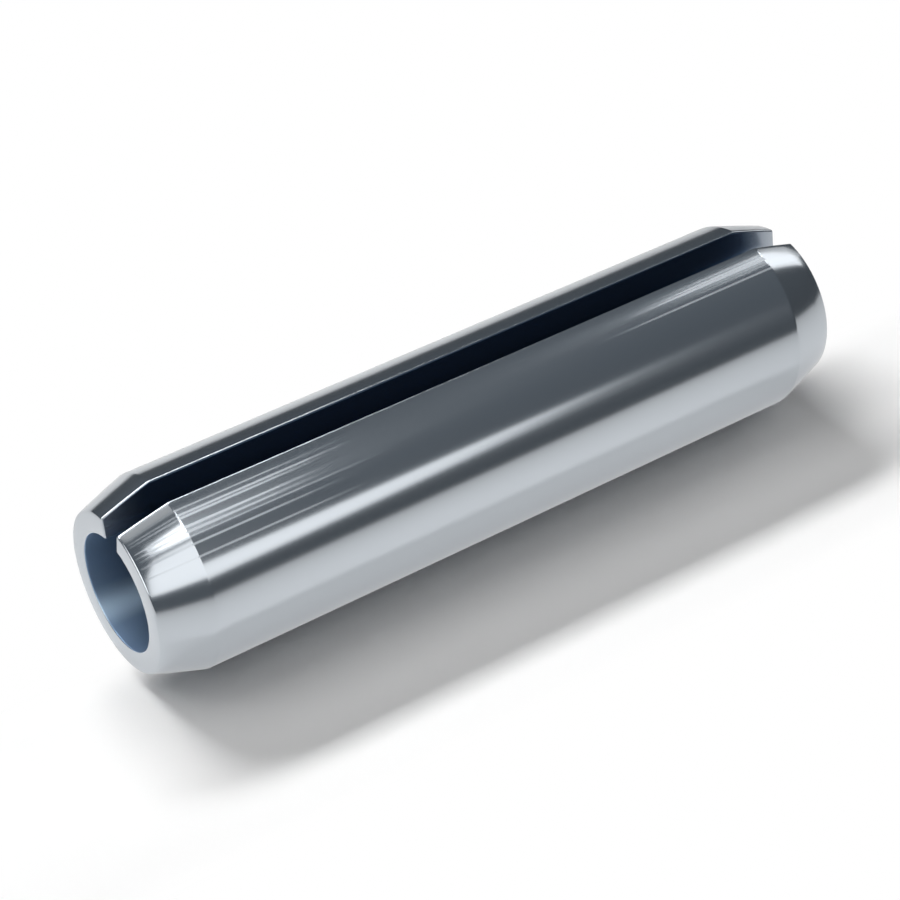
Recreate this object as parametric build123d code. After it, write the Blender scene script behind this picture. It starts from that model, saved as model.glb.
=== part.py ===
from build123d import *
from math import asin, degrees
import os

# Slotted spring pin, heavy duty: a strip of spring steel rolled into an open C, with a tapered lead
# at each end. It is driven into a drilled hole a little smaller than itself and grips by springing back.
# Millimetres, in the free state, before it is driven in. The pin's axis is X with the origin at
# mid-length, and the slot points straight up, along +Z, as the pin lies on a bench.

outside_diameter = 12.5   # over the shank
wall = 2.5                # thickness of the rolled strip
length = 50.0             # between the two flat end faces
lead_length = 3.3         # of each tapered end, along the axis
lead_depth = 1.1          # how far a lead has come in where it meets the end face
slot_width = 2.1          # between the slot's two outer edges
shoulder_radius = 0.5     # where the shank turns into a lead
edge_round = 0.15         # on the strip's cut edges and the rims of the end faces

outside_radius = outside_diameter / 2
bore_radius = outside_radius - wall
end_radius = outside_radius - lead_depth
half_length = length / 2
half_shank = half_length - lead_length

# The strip's edges are cut square to its faces, so in the rolled pin both slot walls stand along a
# radius, and the slot is an angle that narrows towards the bore.
slot_angle = 2 * degrees(asin(slot_width / 2 / outside_radius))

# The flat end face carries two of these rounds, one on each rim, so they can't outgrow it.
end_face_width = wall - lead_depth
cut_edge_round = min(edge_round, end_face_width / 3)


def wall_section(start):
    """The wall cut lengthwise on one side of the axis, with a lead at each end."""
    with BuildSketch(start) as section:
        with BuildLine():
            Polyline(
                (-half_length, bore_radius),
                (-half_length, end_radius),
                (-half_shank, outside_radius),
                (half_shank, outside_radius),
                (half_length, end_radius),
                (half_length, bore_radius),
                close=True,
            )
        make_face()
        shoulders = section.vertices().group_by(Axis.Y)[-1]
        fillet(shoulders, radius=shoulder_radius)
    return section.sketch


def spring_pin():
    """The section rolled about the axis, from one slot wall round to the other."""
    slot_wall = Plane.XZ.rotated((slot_angle / 2, 0, 0))
    with BuildPart() as pin:
        section = wall_section(slot_wall)
        revolve(section, axis=Axis.X, revolution_arc=360 - slot_angle)
        cut_faces = pin.faces().filter_by(GeomType.PLANE)   # two slot walls and two end faces
        fillet(cut_faces.edges(), radius=cut_edge_round)
    return pin.part


os.makedirs("parts", exist_ok=True)
pin = spring_pin()
pin.label = "spring_pin"
export_step(pin, "parts/spring_pin.step")
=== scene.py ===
import math

import bpy
from mathutils import Matrix, Vector


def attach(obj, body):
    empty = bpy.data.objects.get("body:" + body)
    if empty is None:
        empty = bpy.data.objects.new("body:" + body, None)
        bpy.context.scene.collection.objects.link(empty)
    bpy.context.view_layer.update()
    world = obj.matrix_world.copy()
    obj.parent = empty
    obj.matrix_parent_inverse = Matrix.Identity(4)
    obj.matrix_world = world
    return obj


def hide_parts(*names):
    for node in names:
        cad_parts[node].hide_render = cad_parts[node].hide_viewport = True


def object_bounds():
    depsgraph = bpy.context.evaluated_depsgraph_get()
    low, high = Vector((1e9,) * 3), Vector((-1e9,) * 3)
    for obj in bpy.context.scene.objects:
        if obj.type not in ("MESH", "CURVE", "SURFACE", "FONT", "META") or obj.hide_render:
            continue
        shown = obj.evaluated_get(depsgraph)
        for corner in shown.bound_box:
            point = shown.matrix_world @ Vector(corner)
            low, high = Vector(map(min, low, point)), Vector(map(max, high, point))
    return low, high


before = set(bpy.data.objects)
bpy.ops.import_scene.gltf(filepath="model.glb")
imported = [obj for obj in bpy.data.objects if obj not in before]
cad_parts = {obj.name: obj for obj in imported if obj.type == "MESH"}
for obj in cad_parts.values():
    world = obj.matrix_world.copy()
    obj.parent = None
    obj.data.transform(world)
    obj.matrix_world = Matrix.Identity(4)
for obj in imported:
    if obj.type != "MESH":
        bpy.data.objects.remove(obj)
cadLow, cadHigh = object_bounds()
print("frame loaded, nodes:", sorted(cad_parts))

mm = 0.001   # in metres, which the frame is in


def linearColour(hexColour):
    # an sRGB hex colour, such as "#CED3D8", as the linear RGBA that Blender's sockets take
    channels = [int(hexColour[k:k + 2], 16) / 255 for k in (1, 3, 5)]
    linear = [c / 12.92 if c <= 0.04045 else ((c + 0.055) / 1.055) ** 2.4 for c in channels]
    return (*linear, 1.0)


def addNode(tree, kind, inputs=None, **settings):
    # inputs maps a socket's name or number to a value, or to the output socket that feeds it
    node = tree.nodes.new(kind)
    for name, value in settings.items():
        setattr(node, name, value)
    for key, value in (inputs or {}).items():
        if isinstance(value, bpy.types.NodeSocket):
            tree.links.new(value, node.inputs[key])
        else:
            node.inputs[key].default_value = value
    return node


def newMaterial(name):
    material = bpy.data.materials.new(name)
    material.use_nodes = True
    material.node_tree.nodes.clear()
    return material, material.node_tree


# Bright drawn spring steel: hardened strip, drawn and tumbled bright. A clean mirror-like metal, a little
# blue. Its die lines run along the strip and smear reflections into streaks. They are weaker on the
# swaged leads, and the sheared end faces have none.
drawnSteel = {
    "colour": "#CDD3D9",
    "roughness": 0.14,        # of the plain metal
    "lineRoughness": 0.42,    # in the middle of a die line at full strength
    # degrees round from the slot, strength, and the reach along X in mm
    "dieLines": (
        (17.2, 0.5, -25, -17), (20.4, 0.8, -25, -17), (22.4, 0.75, -25, -19), (28.0, 0.9, -25, -20),
        (30.9, 0.8, -25, -20), (33.6, 0.45, -25, -15), (38.0, 0.8, -25, -18), (45.2, 0.7, -25, -17),
        (16.2, 0.35, 19, 25), (18.3, 0.8, 19, 25), (19.9, 1.0, 18, 25), (21.8, 0.15, 20, 25),
        (23.4, 0.3, 20, 25), (26.6, 0.7, 15, 25)),
    "lineWidth": 2.3,         # degrees
    "lineFade": 9.0,          # mm, over which a line dies away at the end of its reach
    "nearLeadShare": 0.5,     # how much of the lines is left on the lead at -X
    "farLeadShare": 0.1,      # and on the one at +X
    "grainLength": 30.0,      # mm, the fine lines all over
    "grainWidth": 0.25,       # mm, coarser than the real ones so that they show
    "grainRoughness": 0.03,   # what they add at most
    "leadBlend": 0.1,         # mm, over which the lines weaken past the shoulder
    "endFadeFrom": 0.3,       # mm from the end face, where they start to fade
    "endFadeTo": 0.1,         # and where they are gone
}


def makeDrawnSteel():
    s = drawnSteel
    material, tree = newMaterial("brightDrawnSpringSteel")
    place = addNode(tree, "ShaderNodeAttribute", attribute_name="stripPlace")
    along = addNode(tree, "ShaderNodeSeparateXYZ", {0: place.outputs["Vector"]})
    outsideRadius = pinSizes["outsideDiameter"] / 2 * mm

    # each die line is a peak of its own strength over its place round the outside
    lines = 0.0
    for degrees, strength, start, end in s["dieLines"]:
        width = math.radians(s["lineWidth"] / 2) * outsideRadius
        away = addNode(tree, "ShaderNodeMath", {
            0: along.outputs["Y"], 1: math.radians(degrees) * outsideRadius}, operation="SUBTRACT")
        distance = addNode(tree, "ShaderNodeMath", {0: away.outputs[0]}, operation="ABSOLUTE")
        peak = addNode(tree, "ShaderNodeMapRange", {
            "Value": distance.outputs[0], "From Min": 0.0, "From Max": width,
            "To Min": strength, "To Max": 0.0}, interpolation_type="SMOOTHSTEP")
        # the line's own end, inside the pin, and where it has died away
        end, gone = (end, end + s["lineFade"]) if start < 0 else (start, start - s["lineFade"])
        reach = addNode(tree, "ShaderNodeMapRange", {
            "Value": along.outputs["X"], "From Min": gone * mm, "From Max": end * mm},
            interpolation_type="SMOOTHSTEP")
        lines = addNode(tree, "ShaderNodeMath", {
            0: peak.outputs[0], 1: reach.outputs[0], 2: lines}, operation="MULTIPLY_ADD").outputs[0]
    grainMap = addNode(tree, "ShaderNodeMapping", {
        "Vector": place.outputs["Vector"],
        "Scale": (1 / (s["grainLength"] * mm), 1 / (s["grainWidth"] * mm), 0)})
    grain = addNode(tree, "ShaderNodeTexNoise", {"Vector": grainMap.outputs[0], "Scale": 1.0, "Detail": 1.0})
    fine = addNode(tree, "ShaderNodeMath", {
        0: grain.outputs["Fac"], 1: s["grainRoughness"]}, operation="MULTIPLY")
    coarse = addNode(tree, "ShaderNodeMath", {
        0: lines, 1: s["lineRoughness"] - s["roughness"], 2: fine.outputs[0]}, operation="MULTIPLY_ADD")

    # full strength on the shank, less on the leads, none on the end faces
    fromMiddle = addNode(tree, "ShaderNodeMath", {0: along.outputs["X"]}, operation="ABSOLUTE")
    halfLength = pinSizes["length"] / 2 * mm
    shankEnd = halfLength - pinSizes["leadLength"] * mm
    leadShare = addNode(tree, "ShaderNodeMapRange", {
        "Value": along.outputs["X"], "From Min": -shankEnd, "From Max": shankEnd,
        "To Min": s["nearLeadShare"], "To Max": s["farLeadShare"]})
    onLead = addNode(tree, "ShaderNodeMapRange", {
        "Value": fromMiddle.outputs[0], "From Min": shankEnd, "From Max": shankEnd + s["leadBlend"] * mm,
        "To Min": 1.0, "To Max": leadShare.outputs[0]})
    onEnd = addNode(tree, "ShaderNodeMapRange", {
        "Value": fromMiddle.outputs[0],
        "From Min": halfLength - s["endFadeFrom"] * mm, "From Max": halfLength - s["endFadeTo"] * mm,
        "To Min": 1.0, "To Max": 0.0})
    share = addNode(tree, "ShaderNodeMath", {0: onLead.outputs[0], 1: onEnd.outputs[0]}, operation="MULTIPLY")
    roughness = addNode(tree, "ShaderNodeMath", {
        0: coarse.outputs[0], 1: share.outputs[0], 2: s["roughness"]}, operation="MULTIPLY_ADD")
    shader = addNode(tree, "ShaderNodeBsdfPrincipled", {
        "Base Color": linearColour(s["colour"]), "Metallic": 1.0, "Roughness": roughness.outputs[0]})
    addNode(tree, "ShaderNodeOutputMaterial", {"Surface": shader.outputs[0]})
    return material


# The bore and the slot's walls are tinted blue-grey, with painted light and shade: paler near the ends,
# where light reaches in, and darker deeper in, as painted shade inside the pin. In the bore it is matt,
# with a paler stripe along it that is a painted highlight. On the walls it is a dark painted shade on the
# metal.
hollowShading = {
    # the bore: paler at the mouth as painted light, darker deeper in as painted shade
    "boreShadeAndHighlight": {
        "mouthColour": "#8AA4C2", "deepColour": "#465A6F", "mouthDepth": 7.0,   # mm
        # a paler stripe along the bore, a painted highlight
        "highlightColour": "#C0D9EE", "highlightAt": 217.0, "highlightWidth": 44.0,               # degrees round from the slot
        "roughness": 0.50, "metallic": 0.75},
    # the slot's walls: pale at the ends as painted light, dark deeper in as painted shade of the slot
    "slotWallLightAndShade": {
        "mouthColour": "#C4CBD3", "deepColour": "#5E7188", "mouthDepth": 2.8,
        "roughness": 0.22, "metallic": 0.92},
}


def makeHollowShading(name):
    s = hollowShading[name]
    material, tree = newMaterial(name)
    place = addNode(tree, "ShaderNodeAttribute", attribute_name="stripPlace")
    along = addNode(tree, "ShaderNodeSeparateXYZ", {0: place.outputs["Vector"]})
    fromMiddle = addNode(tree, "ShaderNodeMath", {0: along.outputs["X"]}, operation="ABSOLUTE")
    halfLength = pinSizes["length"] / 2 * mm
    # painted light and shade: from the pale mouth colour at the end to the dark deep colour further in
    depth = addNode(tree, "ShaderNodeMapRange", {
        "Value": fromMiddle.outputs[0],
        "From Min": halfLength, "From Max": halfLength - s["mouthDepth"] * mm})
    colour = addNode(tree, "ShaderNodeMix", {
        "Factor": depth.outputs[0],
        "A": linearColour(s["mouthColour"]), "B": linearColour(s["deepColour"])}, data_type="RGBA")
    # the paler stripe along the bore is a painted highlight
    if "highlightColour" in s:
        outsideRadius = pinSizes["outsideDiameter"] / 2 * mm
        fromHighlight = addNode(tree, "ShaderNodeMath", {
            0: along.outputs["Y"], 1: math.radians(s["highlightAt"]) * outsideRadius}, operation="SUBTRACT")
        highlightDistance = addNode(tree, "ShaderNodeMath", {0: fromHighlight.outputs[0]}, operation="ABSOLUTE")
        highlighted = addNode(tree, "ShaderNodeMapRange", {
            "Value": highlightDistance.outputs[0],
            "From Min": 0.0, "From Max": math.radians(s["highlightWidth"] / 2) * outsideRadius,
            "To Min": 1.0, "To Max": 0.0}, interpolation_type="SMOOTHSTEP")
        colour = addNode(tree, "ShaderNodeMix", {
            "Factor": highlighted.outputs[0],
            "A": colour.outputs[2], "B": linearColour(s["highlightColour"])}, data_type="RGBA")
    shader = addNode(tree, "ShaderNodeBsdfPrincipled", {
        "Base Color": colour.outputs[2], "Metallic": s["metallic"], "Roughness": s["roughness"]})
    addNode(tree, "ShaderNodeOutputMaterial", {"Surface": shader.outputs[0]})
    return material


# The pin: the strip's lengthwise section, with a lead at each end, rolled about X from one slot wall
# round to the other. The slot is up, along +Z. Millimetres.
pinSizes = {
    "outsideDiameter": (cadHigh.y - cadLow.y) / mm,
    "length": (cadHigh.x - cadLow.x) / mm,
    "wall": 2.5,
    "leadLength": 3.3,
    "leadDepth": 1.1,
    "leadBulge": 0.03,        # how far the swaged lead stands out from a straight cone, at its middle
    "bulgeRadius": 42.0,      # of the round there
    "slotWidth": 2.1,         # between the slot's outer edges
    "shoulderRadius": 0.5,
    "roundPoints": 6,         # how finely each round in the section is divided
    "edgeRound": 0.125,       # on the slot's edges and the rims of the end faces
    "edgeSteps": 4,           # segments of that rounding
    "edgeAngle": 40.0,        # degrees, which takes in those edges but not the shoulders
    "stepsRound": 181,        # cross sections from one slot wall to the other
    "wallStep": 3.5,          # degrees, the first step, wide enough for the rounded edge
    "boreReach": 1.001,       # share of the bore's radius within which a face is the bore's
    "wallReach": 0.9999,      # share of the way round to a slot wall past which a face is the wall's
}


def makePinTree(sizes, steel, boreShading, wallShading):
    # sizes maps the name of each of the tree's inputs to its value
    tree = bpy.data.node_groups.new("rolledPin", "GeometryNodeTree")
    tree.is_modifier = True
    for name, size in sizes.items():
        kind = "NodeSocketInt" if isinstance(size, int) else "NodeSocketFloat"
        tree.interface.new_socket(name, in_out="INPUT", socket_type=kind)
    tree.interface.new_socket("Geometry", in_out="OUTPUT", socket_type="NodeSocketGeometry")
    given = addNode(tree, "NodeGroupInput").outputs

    # the strip's section: eight corners, lengthwise in X and radius in Y, and each corner's rounding
    minusLead = addNode(tree, "ShaderNodeMath", {0: given["Lead middle"], 1: -1.0}, operation="MULTIPLY")
    minusLength = addNode(tree, "ShaderNodeMath", {0: given["Half length"], 1: -1.0}, operation="MULTIPLY")
    minusShank = addNode(tree, "ShaderNodeMath", {0: given["Half shank"], 1: -1.0}, operation="MULTIPLY")
    corners = [
        (minusLength.outputs[0], given["Bore radius"], 0.0),
        (given["Half length"], given["Bore radius"], 0.0),
        (given["Half length"], given["End radius"], 0.0),
        (given["Lead middle"], given["Lead radius"], given["Bulge radius"]),
        (given["Half shank"], given["Outside radius"], given["Shoulder radius"]),
        (minusShank.outputs[0], given["Outside radius"], given["Shoulder radius"]),
        (minusLead.outputs[0], given["Lead radius"], given["Bulge radius"]),
        (minusLength.outputs[0], given["End radius"], 0.0),
    ]
    index = addNode(tree, "GeometryNodeInputIndex")
    cornerPlace = addNode(tree, "GeometryNodeIndexSwitch", {0: index.outputs[0]}, data_type="VECTOR")
    cornerRound = addNode(tree, "GeometryNodeIndexSwitch", {0: index.outputs[0]}, data_type="FLOAT")
    for number, (along, radius, rounding) in enumerate(corners):
        if number >= len(cornerPlace.index_switch_items):
            cornerPlace.index_switch_items.new()
            cornerRound.index_switch_items.new()
        corner = addNode(tree, "ShaderNodeCombineXYZ", {"X": along, "Y": radius})
        tree.links.new(corner.outputs[0], cornerPlace.inputs[number + 1])
        if isinstance(rounding, bpy.types.NodeSocket):
            tree.links.new(rounding, cornerRound.inputs[number + 1])
    ring = addNode(tree, "GeometryNodeCurvePrimitiveCircle", {"Resolution": len(corners)})
    section = addNode(tree, "GeometryNodeSetPosition", {
        "Geometry": ring.outputs[0], "Position": cornerPlace.outputs[0]})
    rounded = addNode(tree, "GeometryNodeFilletCurve", {
        "Curve": section.outputs[0], "Count": given["Round points"], "Radius": cornerRound.outputs[0]},
        mode="POLY")

    # the flat strip: the section swept along Z, which stands for the angle round the pin
    slotEnd = addNode(tree, "ShaderNodeMath", {0: 2 * math.pi, 1: given["Half slot"]}, operation="SUBTRACT")
    lineStart = addNode(tree, "ShaderNodeCombineXYZ", {"Z": given["Half slot"]})
    lineEnd = addNode(tree, "ShaderNodeCombineXYZ", {"Z": slotEnd.outputs[0]})
    line = addNode(tree, "GeometryNodeCurvePrimitiveLine", {
        "Start": lineStart.outputs[0], "End": lineEnd.outputs[0]})
    steps = addNode(tree, "GeometryNodeResampleCurve", {
        "Curve": line.outputs[0], "Count": given["Steps round"]})
    # the first and the last step are wider, and the others share the way between them evenly
    firstAngle = addNode(tree, "ShaderNodeMath", {
        0: given["Half slot"], 1: given["Wall step"]}, operation="ADD")
    lastAngle = addNode(tree, "ShaderNodeMath", {
        0: slotEnd.outputs[0], 1: given["Wall step"]}, operation="SUBTRACT")
    lastStep = addNode(tree, "ShaderNodeMath", {0: given["Steps round"], 1: 2.0}, operation="SUBTRACT")
    stepAngle = addNode(tree, "ShaderNodeMapRange", {
        "Value": index.outputs[0], "From Min": 1.0, "From Max": lastStep.outputs[0],
        "To Min": firstAngle.outputs[0], "To Max": lastAngle.outputs[0]})
    stepPlace = addNode(tree, "ShaderNodeCombineXYZ", {"Z": stepAngle.outputs[0]})
    ends = addNode(tree, "GeometryNodeCurveEndpointSelection")
    between = addNode(tree, "FunctionNodeBooleanMath", {0: ends.outputs[0]}, operation="NOT")
    path = addNode(tree, "GeometryNodeSetPosition", {
        "Geometry": steps.outputs[0], "Selection": between.outputs[0], "Position": stepPlace.outputs[0]})
    strip = addNode(tree, "GeometryNodeCurveToMesh", {
        "Curve": path.outputs[0], "Profile Curve": rounded.outputs[0], "Fill Caps": True})

    # each point remembers its place on the flat strip, in metres: along, round the outside, radius
    flat = addNode(tree, "ShaderNodeSeparateXYZ", {0: addNode(tree, "GeometryNodeInputPosition").outputs[0]})
    arc = addNode(tree, "ShaderNodeMath", {
        0: flat.outputs["Z"], 1: given["Outside radius"]}, operation="MULTIPLY")
    stripPlace = addNode(tree, "ShaderNodeCombineXYZ", {
        "X": flat.outputs["X"], "Y": arc.outputs[0], "Z": flat.outputs["Y"]})
    marked = addNode(tree, "GeometryNodeStoreNamedAttribute", {
        "Geometry": strip.outputs[0], "Name": "stripPlace", "Value": stripPlace.outputs[0]},
        data_type="FLOAT_VECTOR", domain="POINT")

    # rolled up: the angle starts at +Z and turns towards -Y
    sine = addNode(tree, "ShaderNodeMath", {0: flat.outputs["Z"]}, operation="SINE")
    cosine = addNode(tree, "ShaderNodeMath", {0: flat.outputs["Z"]}, operation="COSINE")
    minusRadius = addNode(tree, "ShaderNodeMath", {0: flat.outputs["Y"], 1: -1.0}, operation="MULTIPLY")
    rolledY = addNode(tree, "ShaderNodeMath", {
        0: sine.outputs[0], 1: minusRadius.outputs[0]}, operation="MULTIPLY")
    rolledZ = addNode(tree, "ShaderNodeMath", {
        0: cosine.outputs[0], 1: flat.outputs["Y"]}, operation="MULTIPLY")
    rolledPlace = addNode(tree, "ShaderNodeCombineXYZ", {
        "X": flat.outputs["X"], "Y": rolledY.outputs[0], "Z": rolledZ.outputs[0]})
    rolled = addNode(tree, "GeometryNodeSetPosition", {
        "Geometry": marked.outputs[0], "Position": rolledPlace.outputs[0]})
    faces = addNode(tree, "GeometryNodeSetShadeSmooth", {"Geometry": rolled.outputs[0]}, domain="FACE")
    smooth = addNode(tree, "GeometryNodeSetShadeSmooth", {"Geometry": faces.outputs[0]}, domain="EDGE")
    real = addNode(tree, "GeometryNodeRealizeInstances", {"Geometry": smooth.outputs[0]})

    # bright steel all over, then the painted shade of the bore and the slot's walls: the bore's faces lie at
    # its radius, and the slot's walls at the two ends of the strip's way round
    storedPlace = addNode(tree, "GeometryNodeInputNamedAttribute", {
        "Name": "stripPlace"}, data_type="FLOAT_VECTOR")
    stored = addNode(tree, "ShaderNodeSeparateXYZ", {0: storedPlace.outputs[0]})
    boreLimit = addNode(tree, "ShaderNodeMath", {
        0: given["Bore radius"], 1: given["Bore reach"]}, operation="MULTIPLY")
    inBore = addNode(tree, "FunctionNodeCompare", {
        0: stored.outputs["Z"], 1: boreLimit.outputs[0]}, data_type="FLOAT", operation="LESS_THAN")
    halfWay = addNode(tree, "ShaderNodeMath", {0: given["Outside radius"], 1: math.pi}, operation="MULTIPLY")
    fromBottom = addNode(tree, "ShaderNodeMath", {
        0: stored.outputs["Y"], 1: halfWay.outputs[0]}, operation="SUBTRACT")
    wayRound = addNode(tree, "ShaderNodeMath", {0: fromBottom.outputs[0]}, operation="ABSOLUTE")
    halfSlotAway = addNode(tree, "ShaderNodeMath", {
        0: math.pi, 1: given["Half slot"]}, operation="SUBTRACT")
    wallLimit = addNode(tree, "ShaderNodeMath", {
        0: halfSlotAway.outputs[0], 1: given["Outside radius"]}, operation="MULTIPLY")
    nearWall = addNode(tree, "ShaderNodeMath", {
        0: wallLimit.outputs[0], 1: given["Wall reach"]}, operation="MULTIPLY")
    onWall = addNode(tree, "FunctionNodeCompare", {
        0: wayRound.outputs[0], 1: nearWall.outputs[0]}, data_type="FLOAT", operation="GREATER_THAN")
    bright = addNode(tree, "GeometryNodeSetMaterial", {"Geometry": real.outputs[0], "Material": steel})
    bored = addNode(tree, "GeometryNodeSetMaterial", {
        "Geometry": bright.outputs[0], "Selection": inBore.outputs[0], "Material": boreShading})
    finished = addNode(tree, "GeometryNodeSetMaterial", {
        "Geometry": bored.outputs[0], "Selection": onWall.outputs[0], "Material": wallShading})
    addNode(tree, "NodeGroupOutput", {0: finished.outputs[0]})
    return tree


def makePin():
    s = pinSizes
    outsideRadius = s["outsideDiameter"] / 2
    sizes = {
        "Half length": s["length"] / 2 * mm,
        "Lead middle": (s["length"] - s["leadLength"]) / 2 * mm,
        "Half shank": (s["length"] / 2 - s["leadLength"]) * mm,
        "Outside radius": outsideRadius * mm,
        "Lead radius": (outsideRadius - s["leadDepth"] / 2 + s["leadBulge"]) * mm,
        "End radius": (outsideRadius - s["leadDepth"]) * mm,
        "Bore radius": (outsideRadius - s["wall"]) * mm,
        "Shoulder radius": s["shoulderRadius"] * mm,
        "Bulge radius": s["bulgeRadius"] * mm,
        "Half slot": math.asin(s["slotWidth"] / 2 / outsideRadius),
        "Wall step": math.radians(s["wallStep"]),
        "Steps round": s["stepsRound"],
        "Round points": s["roundPoints"],
        "Bore reach": s["boreReach"],
        "Wall reach": s["wallReach"],
    }
    tree = makePinTree(sizes, makeDrawnSteel(), makeHollowShading("boreShadeAndHighlight"), makeHollowShading("slotWallLightAndShade"))
    maker = bpy.data.objects.new("pinMaker", bpy.data.meshes.new("pinMaker"))
    bpy.context.scene.collection.objects.link(maker)
    rolling = maker.modifiers.new("roll", "NODES")
    rolling.node_group = tree
    for item in tree.interface.items_tree:
        if item.item_type == "SOCKET" and item.in_out == "INPUT":
            rolling[item.identifier] = sizes[item.name]
    edges = maker.modifiers.new("brokenEdges", "BEVEL")
    edges.width = s["edgeRound"] * mm
    edges.segments = s["edgeSteps"]
    edges.limit_method = "ANGLE"
    edges.angle_limit = math.radians(s["edgeAngle"])
    edges.material = 0   # tumbling keeps them bright
    normals = maker.modifiers.new("flatsStayFlat", "WEIGHTED_NORMAL")
    normals.keep_sharp = True
    mesh = bpy.data.meshes.new_from_object(maker.evaluated_get(bpy.context.evaluated_depsgraph_get()))
    mesh.name = "rolledPin"
    bpy.data.objects.remove(maker)
    pin = bpy.data.objects.new("rolledPin", mesh)
    bpy.context.scene.collection.objects.link(pin)
    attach(pin, "root")
    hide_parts("spring_pin")
    print("pin made:", len(mesh.polygons), "faces,", [m.name for m in mesh.materials])


# The floor is a matt white table top. In the pin's reflections it is lifted towards an even pale grey,
# which falls off away from the pin, so the bright metal doesn't mirror the full depth of its own shadow.
# The camera sees it lifted to plain white outside a band beside the pin that holds the shadow.
floorLook = {
    "radius": 500.0,          # mm
    "colour": "#FBFBFB",
    "mirrorShare": 0.62,      # how far its reflection is lifted towards that grey
    "mirrorLevel": 0.80,      # share of plain white, within mirrorReach mm of the pin's middle
    "mirrorReach": 20.0,
    "mirrorFall": -0.19,      # power of the distance beyond it
    "mirrorBack": 0.74,       # share of the level that is left on the far side of the pin, along +Y
    "mirrorBackFrom": 8.0,    # mm along Y, where the level starts to fall to that share
    "mirrorBackTo": 18.0,     # and where it has fallen to it
    "bandMiddle": -8.0,       # mm along Y
    "bandHalf": 5.5,          # mm to each side without any lift
    "whiteAt": 9.0,           # mm to each side where the camera sees plain white
    "bandEnd": 30.0,          # mm along X to each end without any lift
    "whiteEnd": 44.0,         # mm along X where the camera sees plain white
}


def makeFloor():
    s = floorLook
    material, tree = newMaterial("whiteTable")
    rays = addNode(tree, "ShaderNodeLightPath")
    place = addNode(tree, "ShaderNodeTexCoord")
    matt = addNode(tree, "ShaderNodeBsdfDiffuse", {"Color": linearColour(s["colour"])})

    # for the pin's reflections, where no matt surface comes before them
    direct = addNode(tree, "ShaderNodeMath", {
        0: rays.outputs["Diffuse Depth"], 1: 0.5}, operation="LESS_THAN")
    mirrored = addNode(tree, "ShaderNodeMath", {
        0: rays.outputs["Is Glossy Ray"], 1: direct.outputs[0]}, operation="MULTIPLY")
    lift = addNode(tree, "ShaderNodeMath", {
        0: mirrored.outputs[0], 1: s["mirrorShare"]}, operation="MULTIPLY")
    reach = addNode(tree, "ShaderNodeVectorMath", {0: place.outputs["Object"]}, operation="LENGTH")
    times = addNode(tree, "ShaderNodeMath", {
        0: reach.outputs["Value"], 1: 1 / (s["mirrorReach"] * mm)}, operation="MULTIPLY")
    beyond = addNode(tree, "ShaderNodeMath", {0: times.outputs[0], 1: 1.0}, operation="MAXIMUM")
    fall = addNode(tree, "ShaderNodeMath", {0: beyond.outputs[0], 1: s["mirrorFall"]}, operation="POWER")
    across = addNode(tree, "ShaderNodeSeparateXYZ", {0: place.outputs["Object"]})
    sideLevel = addNode(tree, "ShaderNodeMapRange", {
        "Value": across.outputs["Y"],
        "From Min": s["mirrorBackFrom"] * mm, "From Max": s["mirrorBackTo"] * mm,
        "To Min": s["mirrorLevel"], "To Max": s["mirrorLevel"] * s["mirrorBack"]})
    level = addNode(tree, "ShaderNodeMath", {
        0: fall.outputs[0], 1: sideLevel.outputs[0]}, operation="MULTIPLY")
    even = addNode(tree, "ShaderNodeEmission", {"Color": (1, 1, 1, 1), "Strength": level.outputs[0]})
    table = addNode(tree, "ShaderNodeMixShader", {
        0: lift.outputs[0], 1: matt.outputs[0], 2: even.outputs[0]})

    # for the camera
    fromBand = addNode(tree, "ShaderNodeMath", {
        0: across.outputs["Y"], 1: s["bandMiddle"] * mm}, operation="SUBTRACT")
    away = addNode(tree, "ShaderNodeMath", {0: fromBand.outputs[0]}, operation="ABSOLUTE")
    beside = addNode(tree, "ShaderNodeMapRange", {
        "Value": away.outputs[0], "From Min": s["bandHalf"] * mm, "From Max": s["whiteAt"] * mm},
        interpolation_type="SMOOTHSTEP")
    fromMiddle = addNode(tree, "ShaderNodeMath", {0: across.outputs["X"]}, operation="ABSOLUTE")
    atEnds = addNode(tree, "ShaderNodeMapRange", {
        "Value": fromMiddle.outputs[0], "From Min": s["bandEnd"] * mm, "From Max": s["whiteEnd"] * mm},
        interpolation_type="SMOOTHSTEP")
    outside = addNode(tree, "ShaderNodeMath", {
        0: beside.outputs[0], 1: atEnds.outputs[0]}, operation="MAXIMUM")
    seen = addNode(tree, "ShaderNodeMath", {
        0: outside.outputs[0], 1: rays.outputs["Is Camera Ray"]}, operation="MULTIPLY")
    white = addNode(tree, "ShaderNodeEmission", {"Color": (1, 1, 1, 1), "Strength": 1.0})
    surface = addNode(tree, "ShaderNodeMixShader", {
        0: seen.outputs[0], 1: table.outputs[0], 2: white.outputs[0]})
    addNode(tree, "ShaderNodeOutputMaterial", {"Surface": surface.outputs[0]})
    material.cycles.emission_sampling = "NONE"
    bpy.ops.mesh.primitive_circle_add(
        vertices=128, radius=s["radius"] * mm, fill_type="NGON", location=(0, 0, cadLow.z))
    floor = bpy.context.object
    floor.name = "whiteTable"
    floor.data.materials.append(material)
    print("table laid, at a height of", round(cadLow.z / mm, 3), "mm")


# A dark tent round the set, which the camera doesn't see: it is what the bright metal mirrors between
# the softboxes. It darkens towards the table and towards +X.
tentLook = {
    "radius": 3000.0,         # mm
    "lowColour": "#4C5054",
    "highColour": "#5D6369",
    "lowAt": -0.20,           # height up to which it is the low colour, as a share of the radius
    "highAt": 0.65,           # and from which it is the high one
    "tilt": 0.35,             # share of the way along +X that is taken off the height
}


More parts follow.
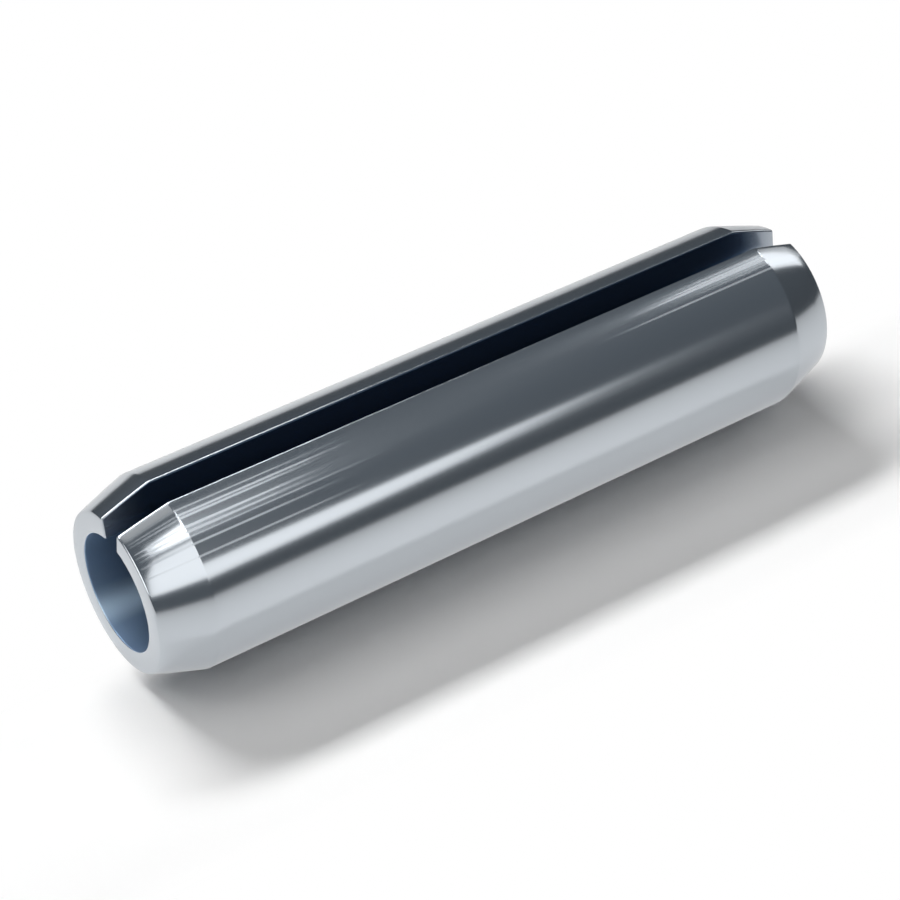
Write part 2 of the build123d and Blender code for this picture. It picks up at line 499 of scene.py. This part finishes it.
def makeTent():
    s = tentLook
    material, tree = newMaterial("darkTent")
    place = addNode(tree, "ShaderNodeTexCoord")
    shares = (-s["tilt"] / (s["radius"] * mm), 0.0, 1 / (s["radius"] * mm))
    height = addNode(tree, "ShaderNodeVectorMath", {
        0: place.outputs["Object"], 1: shares}, operation="DOT_PRODUCT")
    level = addNode(tree, "ShaderNodeMapRange", {
        "Value": height.outputs["Value"], "From Min": s["lowAt"], "From Max": s["highAt"]})
    colour = addNode(tree, "ShaderNodeMix", {
        "Factor": level.outputs[0],
        "A": linearColour(s["lowColour"]), "B": linearColour(s["highColour"])}, data_type="RGBA")
    glow = addNode(tree, "ShaderNodeEmission", {"Color": colour.outputs[2], "Strength": 1.0})
    addNode(tree, "ShaderNodeOutputMaterial", {"Surface": glow.outputs[0]})
    material.cycles.emission_sampling = "NONE"
    bpy.ops.mesh.primitive_uv_sphere_add(segments=48, ring_count=24, radius=s["radius"] * mm)
    tent = bpy.context.object
    tent.name = "darkTent"
    tent.data.materials.append(material)
    tent.visible_camera = False
    tent.visible_shadow = False
    tent.visible_diffuse = False
    print("tent up, radius", s["radius"], "mm")


# Behind everything the camera sees plain white, and the table gets only a little light from there.
worldLook = {
    "seenLevel": 1.0,         # share of plain white that the camera sees
    "lightLevel": 0.03,       # and that lights the set
}


def makeWorld():
    s = worldLook
    world = bpy.data.worlds.new("plainWhite")
    world.use_nodes = True
    tree = world.node_tree
    tree.nodes.clear()
    rays = addNode(tree, "ShaderNodeLightPath")
    strength = addNode(tree, "ShaderNodeMapRange", {
        "Value": rays.outputs["Is Camera Ray"], "To Min": s["lightLevel"], "To Max": s["seenLevel"]})
    background = addNode(tree, "ShaderNodeBackground", {
        "Color": (1, 1, 1, 1), "Strength": strength.outputs[0]})
    addNode(tree, "ShaderNodeOutputWorld", {"Surface": background.outputs[0]})
    bpy.context.scene.world = world
    print("world: plain white")


def directionOf(alongAngle, sideAngle):
    # sideAngle turns from straight up towards -Y, and alongAngle from there towards +X
    along, side = math.radians(alongAngle), math.radians(sideAngle)
    return Vector((math.sin(along), -math.cos(along) * math.sin(side), math.cos(along) * math.cos(side)))


# Softboxes: glowing sheets. Each has its distance from the pin in mm, its corners as (along, side)
# angles in degrees, as directionOf takes them, and its radiance as a share of plain white. One that
# lights the table isn't mirrored in the metal: keyGlow is the gentler glow that is mirrored in place of
# keyStrip. The others are there for the metal to mirror and leave the table alone, so that the shadow
# keeps its depth.
softboxes = {
    "keyStrip": {
        "distance": 170, "radiance": 35.8, "lights": True,
        "corners": ((-26, -32), (9.5, -32), (9.5, -39.2), (-26, -39.2))},
    "sideBox": {
        "distance": 1500, "radiance": 2.55, "lights": True,
        "corners": ((-44, -24), (-8, -24), (-8, 6), (-44, 6))},
    "farSideBox": {
        "distance": 1500, "radiance": 1.15, "lights": True,
        "corners": ((34, -24), (70, -24), (70, 31), (34, 31))},
    "sideFrontBox": {
        "distance": 1500, "radiance": 0.88, "lights": True,
        "corners": ((-42, 6), (-4, 6), (-4, 69), (-42, 69))},
    "rimGlow": {
        "distance": 1500, "radiance": 2.5, "lights": False,
        "corners": ((-45, -25), (-45, 69), (-75, 69), (-75, -25))},
    "keyGlow": {
        "distance": 1500, "radiance": 9.0, "lights": False,
        "corners": ((-40, -33), (23.3, -33), (23.3, -43), (-40, -43))},
    "nearTopBox": {
        "distance": 1500, "radiance": 0.5, "lights": False,
        "corners": ((-24, -33), (-3, -33), (-3, -10), (-24, -10))},
    "wideBoxTop": {
        "distance": 1500, "radiance": 2.75, "lights": False,
        "corners": ((-17.5, 10), (16, -13), (16, 6), (17.6, 11), (17.6, 17), (16.5, 22), (-18.5, 22))},
    "wideBoxFront": {
        "distance": 1500, "radiance": 1.3, "lights": False,
        "corners": ((-19, 26.5), (14.5, 26.5), (13, 69), (-30, 69), (-28, 44))},
    "frontStrip": {
        "distance": 1500, "radiance": 1.25, "lights": False,
        "corners": ((8, 52.5), (28.5, 55.5), (28.5, 59), (26.5, 66.5), (21, 71), (8, 73))},
    "farGlow": {
        "distance": 1500, "radiance": 3.2, "lights": False,
        "corners": ((37.5, -19), (36, -13), (35, -7.5), (39, 1), (46, -4), (46, -27))},
    "farBox": {
        "distance": 1500, "radiance": 1.5, "lights": False,
        "corners": ((46, -27), (46, -4), (74, -15), (70, -41), (59, -41))},
    "farEdgeBox": {
        "distance": 1500, "radiance": 0.65, "lights": False,
        "corners": ((58, -41), (70, -41), (72, -57), (55, -57))},
}


def makeSoftboxes():
    for name, s in softboxes.items():
        material, tree = newMaterial(name)
        # a box that is there to be mirrored doesn't light the table by way of the pin either
        rays = addNode(tree, "ShaderNodeLightPath")
        strength = addNode(tree, "ShaderNodeMapRange", {
            "Value": rays.outputs["Diffuse Depth"], "From Min": 0.0, "From Max": 1.0,
            "To Min": s["radiance"], "To Max": s["radiance"] if s["lights"] else 0.0})
        glow = addNode(tree, "ShaderNodeEmission", {"Color": (1, 1, 1, 1), "Strength": strength.outputs[0]})
        addNode(tree, "ShaderNodeOutputMaterial", {"Surface": glow.outputs[0]})
        mesh = bpy.data.meshes.new(name)
        corners = [directionOf(along, side) * s["distance"] * mm for along, side in s["corners"]]
        mesh.from_pydata(corners, [], [range(len(corners))])
        mesh.materials.append(material)
        sheet = bpy.data.objects.new(name, mesh)
        bpy.context.scene.collection.objects.link(sheet)
        sheet.visible_camera = False
        sheet.visible_shadow = False
        sheet.visible_diffuse = s["lights"]
        sheet.visible_glossy = not s["lights"]
    print("softboxes:", ", ".join(softboxes))


# The camera looks down the pin from its near end, 34.6 degrees round and 39.7 degrees above the table.
cameraView = {
    "place": (-74.122, -105.552, 106.067),   # mm
    "aim": (-1.636, -0.443, 0.0),            # mm
    "roll": -0.28,                           # degrees
    "lens": 107.29,                          # mm
    "sensor": 36.0,                          # mm
    "nearest": 5.0,                          # mm, what is closer than this isn't drawn
}


def makeCamera():
    s = cameraView
    place, aim = Vector(s["place"]) * mm, Vector(s["aim"]) * mm
    facing = (aim - place).to_track_quat("-Z", "Y").to_matrix().to_4x4()
    lens = bpy.data.cameras.new("photoView")
    lens.lens = s["lens"]
    lens.sensor_width = s["sensor"]
    lens.clip_start = s["nearest"] * mm
    camera = bpy.data.objects.new("photoView", lens)
    camera.matrix_world = (
        Matrix.Translation(place) @ facing @ Matrix.Rotation(math.radians(s["roll"]), 4, "Z"))
    bpy.context.scene.collection.objects.link(camera)
    bpy.context.scene.camera = camera
    print("camera right", [round(x, 5) for x in camera.matrix_world.col[0]])


makePin()
makeFloor()
makeTent()
makeWorld()
makeSoftboxes()
makeCamera()
bpy.context.scene.view_settings.view_transform = "Standard"
print("stage set")
